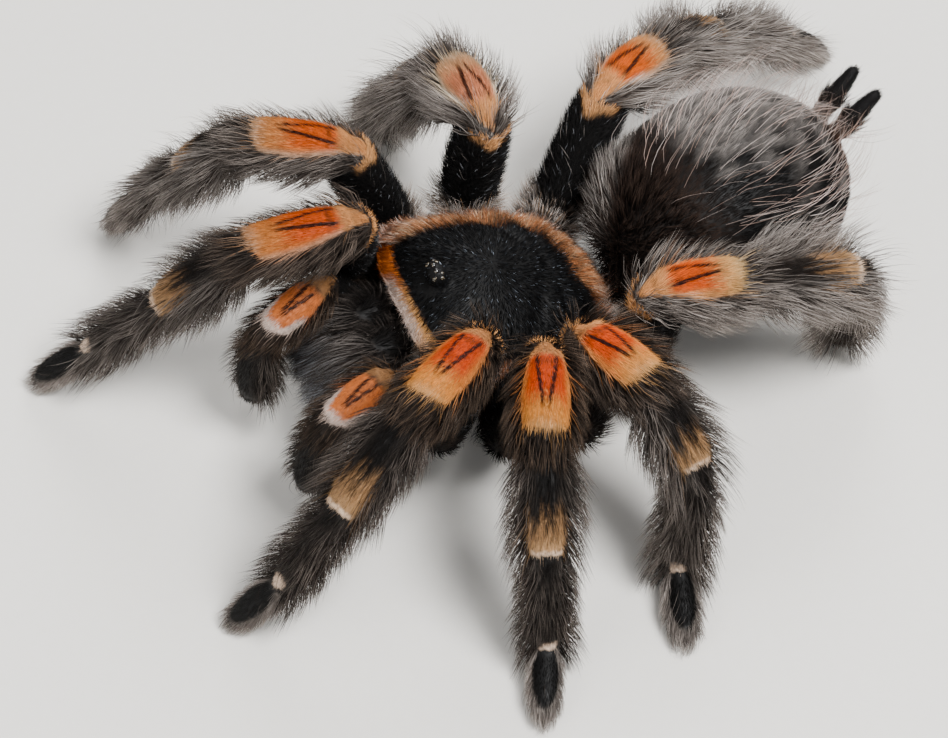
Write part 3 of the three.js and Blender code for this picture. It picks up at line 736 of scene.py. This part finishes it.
# Bare cuticle is a matt, leathery shell: its colour shows between the hairs, and its pits, about
# 0.4 mm apart, break the light.
marking_and_painted_light = add_node(cuticle_tree, "ShaderNodeAttribute", {"attribute_name": "marking_and_painted_light"})
pits = fine_noise(cuticle_tree, 2600.0, 4.0)
rubbed = spread(cuticle_tree, pits, 0.55, 1.15, 0.3, 0.7)
tinted = add_node(cuticle_tree, "ShaderNodeVectorMath", {"operation": "SCALE"}, {
    0: marking_and_painted_light.outputs["Color"], "Scale": rubbed})
matt = spread(cuticle_tree, pits, 0.75, 0.5, 0.3, 0.7)
relief = add_node(cuticle_tree, "ShaderNodeBump", None, {
    "Height": pits, "Strength": 0.5, "Distance": 0.06 * MM})
cuticle_tree.links.new(tinted.outputs["Vector"], cuticle_shader.inputs["Base Color"])
cuticle_tree.links.new(matt, cuticle_shader.inputs["Roughness"])
cuticle_tree.links.new(relief.outputs["Normal"], cuticle_shader.inputs["Normal"])

# ------------------------------------------------------------------ eyes
# Eight simple eyes crowd on the mound: two round dark ones in its middle, and three oval pearly ones
# at each side. Each is a clear lens of the spider's own cuticle, moulded in one with the mound.
# Sideways and backward place as shares of the mound, half-length, half-width, turn, and paleness.
EYES = (
    (0.27, -0.12, 0.21, 0.21, 0.0, 0.05),
    (0.66, -0.52, 0.25, 0.17, 30.0, 0.75),
    (0.80, 0.22, 0.21, 0.15, -25.0, 0.9),
    (0.52, 0.34, 0.15, 0.12, 15.0, 1.0),
)
EYE_BULGE = 0.6
eye_mesh = bmesh.new()
eye_tones = []
for side_sign in (1, -1):
    for across_share, back_share, long_half, short_half, eye_turn, eye_pale in EYES:
        x, y = side_sign * across_share, back_share
        z = math.sqrt(1 - x * x - y * y)
        centre = Vector((x * MOUND_SIZE[0], y * MOUND_SIZE[1], z * MOUND_SIZE[2])) * 0.97
        facing = Vector((x / MOUND_SIZE[0], y / MOUND_SIZE[1], z / MOUND_SIZE[2])).normalized()
        ahead = Vector((0, -1, 0)) - facing * facing.dot(Vector((0, -1, 0)))
        ahead = ahead.normalized()
        turned = facing_frame(facing.cross(ahead) * -1, ahead, facing)
        turned = turned @ Matrix.Rotation(math.radians(side_sign * eye_turn), 4, "Z")
        stretch = Matrix.Diagonal((short_half, long_half, short_half * EYE_BULGE, 1))
        lens = bmesh.ops.create_uvsphere(eye_mesh, u_segments=20, v_segments=12, radius=1.0)["verts"]
        eye_tones += [(eye_pale, vert.co.z) for vert in lens]
        placed = mound_frame @ Matrix.Translation(centre) @ turned @ stretch
        bmesh.ops.transform(eye_mesh, matrix=placed, verts=lens)
# The lenses are clear cuticle over dark or pearly eye cups: a wet-looking coat with a sharp highlight.
lens_material, lens_tree, lens_shader = new_material("clear_dark_eye_lens", {
    "Coat Weight": 1.0, "Coat Roughness": 0.03, "IOR": 1.5})
bmesh.ops.recalc_face_normals(eye_mesh, faces=eye_mesh.faces)
eyes = new_piece("eyes", eye_mesh, lens_material)
tones = np.array(eye_tones)
pupil = ramp(tones[:, 1], 0.5, 0.95)
write_colours(eyes.data, "lens_tone", mix(
    mix(dye("#080504"), dye("#8d7f68"), tones[:, 0] * (1 - 0.45 * pupil)), dye("#030202"),
    1 - ramp(tones[:, 1], 0.15, 0.5)))
tone = add_node(lens_tree, "ShaderNodeAttribute", {"attribute_name": "lens_tone"})
haze = spread(lens_tree, fine_noise(lens_tree, 6000.0, 2.0), 0.08, 0.22)
lens_tree.links.new(tone.outputs["Color"], lens_shader.inputs["Base Color"])
lens_tree.links.new(haze, lens_shader.inputs["Roughness"])
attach(eyes, "root")

# ------------------------------------------------------------------ fangs
# Each jaw ends in a fang, a curved hollow horn hinged in a soft collar and folded back under the jaw.
# It is the hardest cuticle of the body, black and polished by use, with faint lines along it.
FANG_LENGTH = 4.2
FANG_CURL = math.radians(50)
FANG_STEPS = 14
FANG_HALF_WIDTH = 0.62


def hook(start, ahead, upward, length, curl, steps):
    """Places along a hook that sets off ahead and curls down evenly by an angle."""
    places = []
    for step in range(steps + 1):
        share = step / steps
        run = length * math.sin(curl * share) / curl
        fall = length * (1 - math.cos(curl * share)) / curl
        places.append(start + ahead * run - upward * fall)
    return places


# The horn is cuticle polished by use: nearly black, brown where it is thin, with a soft shine.
horn, horn_tree, horn_shader = new_material("polished_black_horn", {
    "Coat Weight": 0.3, "Coat Roughness": 0.1})
streaks = fine_noise(horn_tree, 3000.0, 3.0)
horn_tone = add_node(horn_tree, "ShaderNodeMix", {"data_type": "RGBA"}, {
    "Factor": streaks, "A": (*linear("#070505"), 1), "B": (*linear("#2a130c"), 1)})
horn_polish = spread(horn_tree, streaks, 0.12, 0.38)
horn_tree.links.new(horn_tone.outputs["Result"], horn_shader.inputs["Base Color"])
horn_tree.links.new(horn_polish, horn_shader.inputs["Roughness"])
for limb_side, _, jaw_end in jaws:
    ends = sorted(poles(f"{limb_side}_fang", FANG_SIDES), key=lambda p: (p - jaw_end).length)
    path = hook(ends[0], shield_back, shield_up, FANG_LENGTH, FANG_CURL, FANG_STEPS)
    radii = [FANG_HALF_WIDTH * (1 - 0.9 * (step / FANG_STEPS) ** 1.15) for step in range(FANG_STEPS + 1)]
    fang_mesh = bmesh.new()
    tube(fang_mesh, [ends[0] + shield_up * 0.9, *path], [FANG_HALF_WIDTH, *radii],
         sides=16, across=shield_left, flat=0.85)
    bmesh.ops.recalc_face_normals(fang_mesh, faces=fang_mesh.faces)
    fang = new_piece(f"{limb_side}_fang_horn", fang_mesh, horn)
    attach(fang, "root")
    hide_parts(f"{limb_side}_fang")

# ------------------------------------------------------------------ claws
# A pair of small hooked claws at the tip of each foot, half hidden in its end tuft, and a single one
# on each palp. They are of the same black horn as the fangs.
CLAW_LENGTH = 0.85
CLAW_HALF_WIDTH = 0.11
CLAW_APART = 0.3
CLAW_INSET = 0.35
CLAW_HEIGHT = 0.45
CLAW_STEPS = 7
CLAW_CURL = math.radians(95)
claw_mesh = bmesh.new()
for limb, chain in joints.items():
    toe, way = chain[-1], (chain[-1] - chain[-2]).normalized()
    toe_side = Vector((-way.y, way.x, 0)).normalized()
    toe_ahead = Vector((way.x, way.y, 0)).normalized()
    for apart in ((-CLAW_APART, CLAW_APART) if limb in LEGS else (0.0,)):
        claw_root = toe - way * CLAW_INSET + toe_side * apart + Vector((0, 0, CLAW_HEIGHT))
        path = hook(claw_root, toe_ahead, Vector((0, 0, 1)), CLAW_LENGTH, CLAW_CURL, CLAW_STEPS)
        radii = [CLAW_HALF_WIDTH * (1 - 0.88 * step / CLAW_STEPS) for step in range(CLAW_STEPS + 1)]
        tube(claw_mesh, path, radii, sides=8, across=toe_side)
bmesh.ops.recalc_face_normals(claw_mesh, faces=claw_mesh.faces)
claws = new_piece("claws", claw_mesh, horn)
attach(claws, "root")

# ------------------------------------------------------------------ coat
# Real hair of the spider, kept on the moulted skin: short velvet on the thighs and the shield, dense
# fur on the knees, long soft hair on the shins and feet. Each hair is a thin three-sided tapering
# bristle, bent once or more along its length, whose root is sunk in the hide.
HAIR_SHARE = 1.0
FLOOR_CLEARANCE = 0.04
PATCH = 0.003
ROOT_DEPTH = 0.06
LOCK_SHARE = 0.07
LOCK_PULL = 0.45
TIP_FADE = 1.6


def hair_shape(bends):
    """One bristle: a slim cone cut across at each bend. Gives its corners and its faces."""
    bm = bmesh.new()
    bmesh.ops.create_cone(bm, cap_ends=False, segments=3, radius1=0.5, radius2=0.0, depth=1.0)
    bmesh.ops.remove_doubles(bm, verts=bm.verts, dist=1e-5)
    for step in range(bends):
        height = -0.5 + (step + 1) / (bends + 1)
        bmesh.ops.bisect_plane(bm, geom=bm.verts[:] + bm.edges[:] + bm.faces[:],
                               plane_co=(0, 0, height), plane_no=(0, 0, 1))
    bm.verts.index_update()
    corners = np.array([v.co for v in bm.verts]) + (0, 0, 0.5)
    faces = [[v.index for v in f.verts] for f in bm.faces]
    bm.free()
    return corners, faces


def hair_paths(steps, roots, normals, lie, length, lift, curl):
    """Places along each bristle: it leaves the hide at its lift and bends over by its curl."""
    places = [roots]
    for step in range(steps):
        bend = lift * (1 - curl * (step + 0.5) / steps)
        way = lie * np.cos(bend)[:, None] + normals * np.sin(bend)[:, None]
        places.append(places[-1] + way * (length / steps)[:, None])
    return np.stack(places, 1)


def leaders(roots):
    """For each root, the nearest of the few bristles that lead a lock of hair."""
    chosen = np.flatnonzero(random.uniform(size=len(roots)) < LOCK_SHARE)
    if not len(chosen):
        return np.arange(len(roots))
    tree = KDTree(len(chosen))
    for index, root in zip(chosen, roots[chosen]):
        tree.insert(root, index)
    tree.balance()
    return np.array([tree.find(root)[1] for root in roots])


def grow(batches, shape, roots, normals, lie, length, lift, width, root_colour, tip_colour, uv, curl,
         tufted):
    """Copies one bristle to every root and adds the copies to the batch of its piece."""
    corners, faces = shape
    steps = len(set(np.round(corners[:, 2], 4))) - 1
    lie = lie - normals * np.sum(lie * normals, 1)[:, None]
    lie = lie / np.maximum(np.linalg.norm(lie, axis=1), 1e-6)[:, None]
    across = np.cross(lie, normals)
    paths = hair_paths(steps, roots - normals * ROOT_DEPTH, normals, lie, length, np.radians(lift), curl)
    # Only longer or tufted hair gathers into locks, and a lock shares the shade of its leader.
    lead = leaders(roots)
    pull = LOCK_PULL * np.maximum(tufted, ramp(length, 1.0, 1.7))
    gather = (paths[lead, -1] - paths[:, -1]) * pull[:, None]
    paths = paths + gather[:, None, :] * (np.arange(steps + 1) / steps)[None, :, None] ** 2
    shared = np.maximum(tufted, ramp(length, 0.9, 1.5))
    lock_shade = (1 + random.uniform(-0.4, 0.35, len(roots))[lead] * shared)[:, None]
    root_colour, tip_colour = root_colour * lock_shade, tip_colour * lock_shade
    step_of = np.round(corners[:, 2] * steps).astype(int)
    places = paths[:, step_of, :]
    over = normals * 0.8 + lie * -0.3
    places = places + (corners[None, :, 0:1] * width[:, None, None]) * across[:, None, :]
    places = places + (corners[None, :, 1:2] * width[:, None, None]) * over[:, None, :]
    places[:, :, 2] = np.maximum(places[:, :, 2], FLOOR_CLEARANCE)
    height = corners[None, :, 2:3]
    fade = height ** TIP_FADE
    colours = root_colour[:, None, :] * (1 - fade) + tip_colour[:, None, :] * fade
    patch = uv[:, None, :] + np.c_[corners[:, 0], corners[:, 2] - 0.5][None] * PATCH
    batches.append((places, colours, patch, faces))


def coat_piece(name, batches, material):
    """Writes the bristles of one part of the body as a single mesh."""
    corners, colours, patches, loops, sizes = [], [], [], [], []
    base = 0
    for places, colour, patch, faces in batches:
        count, per = places.shape[:2]
        corners.append(places.reshape(-1, 3))
        colours.append(colour.reshape(-1, 3))
        patches.append(patch.reshape(-1, 2))
        flat = np.array([index for face in faces for index in face])
        loops.append((base + np.arange(count)[:, None] * per + flat[None]).ravel())
        sizes.append(np.tile([len(face) for face in faces], count))
        base += count * per
    corners, colours = np.concatenate(corners) * MM, np.concatenate(colours)
    patches, loops, sizes = np.concatenate(patches), np.concatenate(loops), np.concatenate(sizes)
    mesh = bpy.data.meshes.new(name)
    mesh.vertices.add(len(corners))
    mesh.vertices.foreach_set("co", corners.astype(np.float32).ravel())
    mesh.loops.add(len(loops))
    mesh.loops.foreach_set("vertex_index", loops.astype(np.int32))
    mesh.polygons.add(len(sizes))
    mesh.polygons.foreach_set("loop_start", (np.cumsum(sizes) - sizes).astype(np.int32))
    mesh.polygons.foreach_set("use_smooth", np.ones(len(sizes), bool))
    mesh.update(calc_edges=True)
    write_colours(mesh, "hair_colour", colours)
    uv_map = mesh.uv_layers.new(name="OFBake")
    uv_map.data.foreach_set("uv", patches[loops].astype(np.float32).ravel())
    mesh.materials.append(material)
    piece = bpy.data.objects.new(name, mesh)
    bpy.context.collection.objects.link(piece)
    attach(piece, "root")


# Hair is soft and matt, coloured along its length, with patches of dust a millimetre or two wide.
hair, hair_tree, hair_shader = new_material("soft_spider_hair", {"Specular IOR Level": 0.1})
hair_colour = add_node(hair_tree, "ShaderNodeAttribute", {"attribute_name": "hair_colour"})
dust = fine_noise(hair_tree, 700.0, 4.0)
shade_of_dust = spread(hair_tree, dust, 0.8, 1.15, 0.3, 0.7)
dusted = add_node(hair_tree, "ShaderNodeVectorMath", {"operation": "SCALE"}, {
    0: hair_colour.outputs["Color"], "Scale": shade_of_dust})
hair_gloss = spread(hair_tree, dust, 0.5, 0.68, 0.3, 0.7)
hair_tree.links.new(dusted.outputs["Vector"], hair_shader.inputs["Base Color"])
hair_tree.links.new(hair_gloss, hair_shader.inputs["Roughness"])

# Roots are scattered over the hide by the area of its faces and the coat's thickness there.
face_corners = skin_corners[skin_triangles]
face_middles = face_corners.mean(1)
face_areas = np.linalg.norm(
    np.cross(face_corners[:, 1] - face_corners[:, 0], face_corners[:, 2] - face_corners[:, 0]), axis=1) / 2
face_rules = coat_at(face_middles, np.full(len(face_middles), 0.5))[-1]
BONE_WAYS = np.array([(far - near).normalized() for _, _, near, far, _, _ in bones] + [Vector()] * 3)
PART_ORDER = {"coxa": 0, "femur": 1, "patella": 2, "tibia": 3, "metatarsus": 4, "tarsus": 5}
CHART_ROWS = 6


def scatter(expected):
    """Roots on the hide for an expected number on each face: their places, normals and chances."""
    count = np.floor(expected + random.uniform(size=len(expected))).astype(int)
    faces = np.repeat(np.arange(len(expected)), count)
    u, v = random.uniform(size=(2, len(faces)))
    u, v = np.where(u + v > 1, 1 - u, u), np.where(u + v > 1, 1 - v, v)
    weights = np.c_[1 - u - v, u, v][:, :, None]
    points = (skin_corners[skin_triangles[faces]] * weights).sum(1)
    normals = (skin_normals[skin_triangles[faces]] * weights).sum(1)
    normals = normals / np.linalg.norm(normals, axis=1)[:, None]
    return points, normals, random.uniform(size=len(faces))


def lie_of_coat(form, share, on_shield, on_abdomen):
    """The way the coat lies: to the tips of the limbs, outwards on the shield, back on the abdomen."""
    lie = BONE_WAYS[form].copy()
    part = FORM_PART[form]
    out = np.c_[on_shield[:, :2] - (0, -3.0), -0.2 * on_shield[:, 2]]
    turned = out @ np.array(shield_frame.to_3x3()).T
    on_jaw = part == JAW
    lie[part == SHIELD] = turned[part == SHIELD]
    lie[part == UNDERSIDE] = np.array(shield_back)
    lie[on_jaw] += np.outer(1 - ramp(share[on_jaw], 0.0, 0.35), shield_up) * 0.8
    rear = np.array(abdomen_back) + np.outer(ramp(on_abdomen[:, 1], 2, 10), abdomen_up) * 1.3
    lie[part == ABDOMEN] = rear[part == ABDOMEN]
    return lie / np.maximum(np.linalg.norm(lie, axis=1), 1e-6)[:, None]


def chart(form, share, angle):
    """A root's place on its piece's chart: round the form across, along it upwards, a row for each part."""
    part = FORM_PART[form]
    row = np.array([PART_ORDER.get(p, -1) for p in part])
    across = 0.01 + 0.98 * (angle / (2 * np.pi) + 0.5)
    whole = 0.01 + 0.98 * share
    rowed = (row + 0.03 + 0.94 * share) / CHART_ROWS
    return np.c_[across, np.where(row >= 0, rowed, whole)]


spike, short_hair, long_hair = hair_shape(0), hair_shape(1), hair_shape(3)
VELVET_LENGTH = 1.15
# Long bristles that stand out of the coat: hairs per square mm, length, lift and thickness.
BRISTLES = {
    "patella": (0.7, 3.2, 38, 0.07), "tibia": (1.5, 4.2, 42, 0.075), "metatarsus": (1.4, 3.6, 42, 0.075),
    "tarsus": (0.5, 1.8, 35, 0.06), "femur": (0.15, 1.8, 35, 0.06), "coxa": (0.6, 2.6, 48, 0.07),
    ABDOMEN: (1.0, 5.4, 56, 0.058), JAW: (1.6, 3.4, 24, 0.07), SHIELD: (0.0, 1.0, 20, 0.07),
    UNDERSIDE: (0.3, 2.2, 35, 0.07), FINGER: (0.8, 1.2, 35, 0.06),
}
BARE_KNEE_ANGLE = 1.25
# The palps' hair is shorter than that of the legs, and the third and fourth legs' hair is longer.
HAIR_SIZES = {"left_palp": 0.75, "right_palp": 0.75, "left_leg3": 1.15, "left_leg4": 1.1,
              "right_leg3": 1.2, "right_leg4": 1.08}
FORM_SIZE = np.array([HAIR_SIZES.get(owner, 1.0) for owner in FORM_OWNER])


def wanted_bristles():
    """Bristles per square mm on each face: few on top of the shins, none under the abdomen."""
    face_form, _, face_angle = find_places(face_middles)[:3]
    face_part, face_pale = FORM_PART[face_form], FORM_PALE[face_form]
    wanted = np.array([BRISTLES[p][0] for p in FORM_PART])[face_form] * (1 + face_pale)
    on_shin = np.isin(face_part, ("tibia", "metatarsus")) & (np.abs(face_angle) < 0.9)
    wanted[on_shin] *= 0.5 * face_pale[on_shin]
    _, back_share, up_share = (local(face_middles, abdomen_frame) / ABDOMEN_FLESH).T
    thick = 0.3 * ramp(back_share, -0.8, -0.5) + 0.7 * ramp(back_share, -0.7, 0.0)
    thick = thick + 0.2 * ramp(back_share, 0.5, 0.9)
    on_back = face_part == ABDOMEN
    wanted[on_back] = (thick * ramp(up_share, -0.7, 0.4))[on_back]
    return wanted


def bristle_colours(part, bare_knee, chance, pale, on_abdomen, rules):
    """Root and tip colours of bristles: smoky to white on the limbs, pinkish and rusty on the abdomen."""
    on_back = part == ABDOMEN
    light = mix(SMOKE, FROST, np.clip(0.05 + 0.95 * pale, 0, 1))
    light = mix(light, BROWN, (chance < 0.6) * (1 - pale))
    rusty = ramp(on_abdomen[:, 1] - 0.5 * on_abdomen[:, 2], 6.0, 9.0)
    pinkish = mix(dye("#d6b4a4"), dye("#f6e9e2"), chance)
    light[on_back] = mix(pinkish, mix(RUST, pinkish, 0.5), rusty)[on_back]
    off_ball = np.linalg.norm(on_abdomen / ABDOMEN_FLESH, axis=1) > 1.07
    light[(part == FINGER) | (on_back & off_ball)] = UMBER
    tip = np.where((on_back | ~bare_knee)[:, None], light, rules["tip"])
    root = np.where(bare_knee[:, None], rules["root"], SOOT)
    return np.where(on_back[:, None], light * 0.6, root), tip


# Three growths cover the hide: the short velvet, the longer fur, and the long bristles over both.
batches = {}
owner_index = {name: i for i, name in enumerate(sorted(set(FORM_OWNER)))}
form_owner = np.array([owner_index[name] for name in FORM_OWNER])
for kind in ("velvet", "fur", "bristles"):
    if kind == "bristles":
        wanted = wanted_bristles()
    else:
        velvety = face_rules["length"] < VELVET_LENGTH
        wanted = face_rules["density"] * (velvety == (kind == "velvet"))
    points, normals, chance = scatter(face_areas * wanted * HAIR_SHARE)
    form, share, angle, on_shield, on_abdomen, rules = coat_at(points, chance)
    lie = lie_of_coat(form, share, on_shield, on_abdomen)
    part = FORM_PART[form]
    combed = (part == "patella") & (rules["length"] < VELVET_LENGTH)
    loose = np.where(combed, 0.05, 0.16 + 0.05 * (kind == "bristles"))
    lie = lie + random.normal(size=lie.shape) * loose[:, None]
    vary = random.uniform(0.75, 1.2, len(points))
    size = FORM_SIZE[form]
    pale = FORM_PALE[form]
    if kind != "bristles":
        length = rules["length"] * vary * size * (1 + 0.1 * pale)
        lift = rules["lift"] * random.uniform(0.7, 1.3, len(points)) * (1 + 0.35 * pale)
        width = np.clip(0.054 + 0.014 * length, 0.058, 0.095) * random.uniform(0.85, 1.15, len(points))
        root_colour, tip_colour = rules["root"], rules["tip"]
        shape, curl = (spike, 0.0) if kind == "velvet" else (short_hair, 0.6)
    else:
        table = np.array([BRISTLES[p][1:] for p in FORM_PART])[form]
        length = table[:, 0] * vary * size * (1 + 0.25 * pale)
        bare_knee = (part == "patella") & (np.abs(angle) < BARE_KNEE_ANGLE)
        length = np.where(bare_knee, length * 0.25, length)
        lift = table[:, 1] * random.uniform(0.7, 1.3, len(points)) * (1 + 0.45 * pale)
        width = table[:, 2] * random.uniform(0.8, 1.1, len(points))
        root_colour, tip_colour = bristle_colours(part, bare_knee, chance, pale, on_abdomen, rules)
        shape, curl = long_hair, np.where(part == ABDOMEN, 0.95, 0.75)
    shade = random.uniform(0.8, 1.15, (len(points), 1))
    uv = chart(form, share, angle)
    curl = np.broadcast_to(curl, len(points))
    tufted = np.select([part == ABDOMEN, part == SHIELD], [1.0, 0.5], 0.0) * (kind != "bristles")
    values = (points, normals, lie, length, lift, width, root_colour * shade, tip_colour * shade,
              uv, curl, tufted)
    for owner, index in owner_index.items():
        here = form_owner[form] == index
        if here.any():
            grow(batches.setdefault(owner, []), shape, *(value[here] for value in values))

# The hair of each limb and of each part of the body is one piece.
for owner, parts in batches.items():
    coat_piece(f"{owner}_coat", parts, hair)
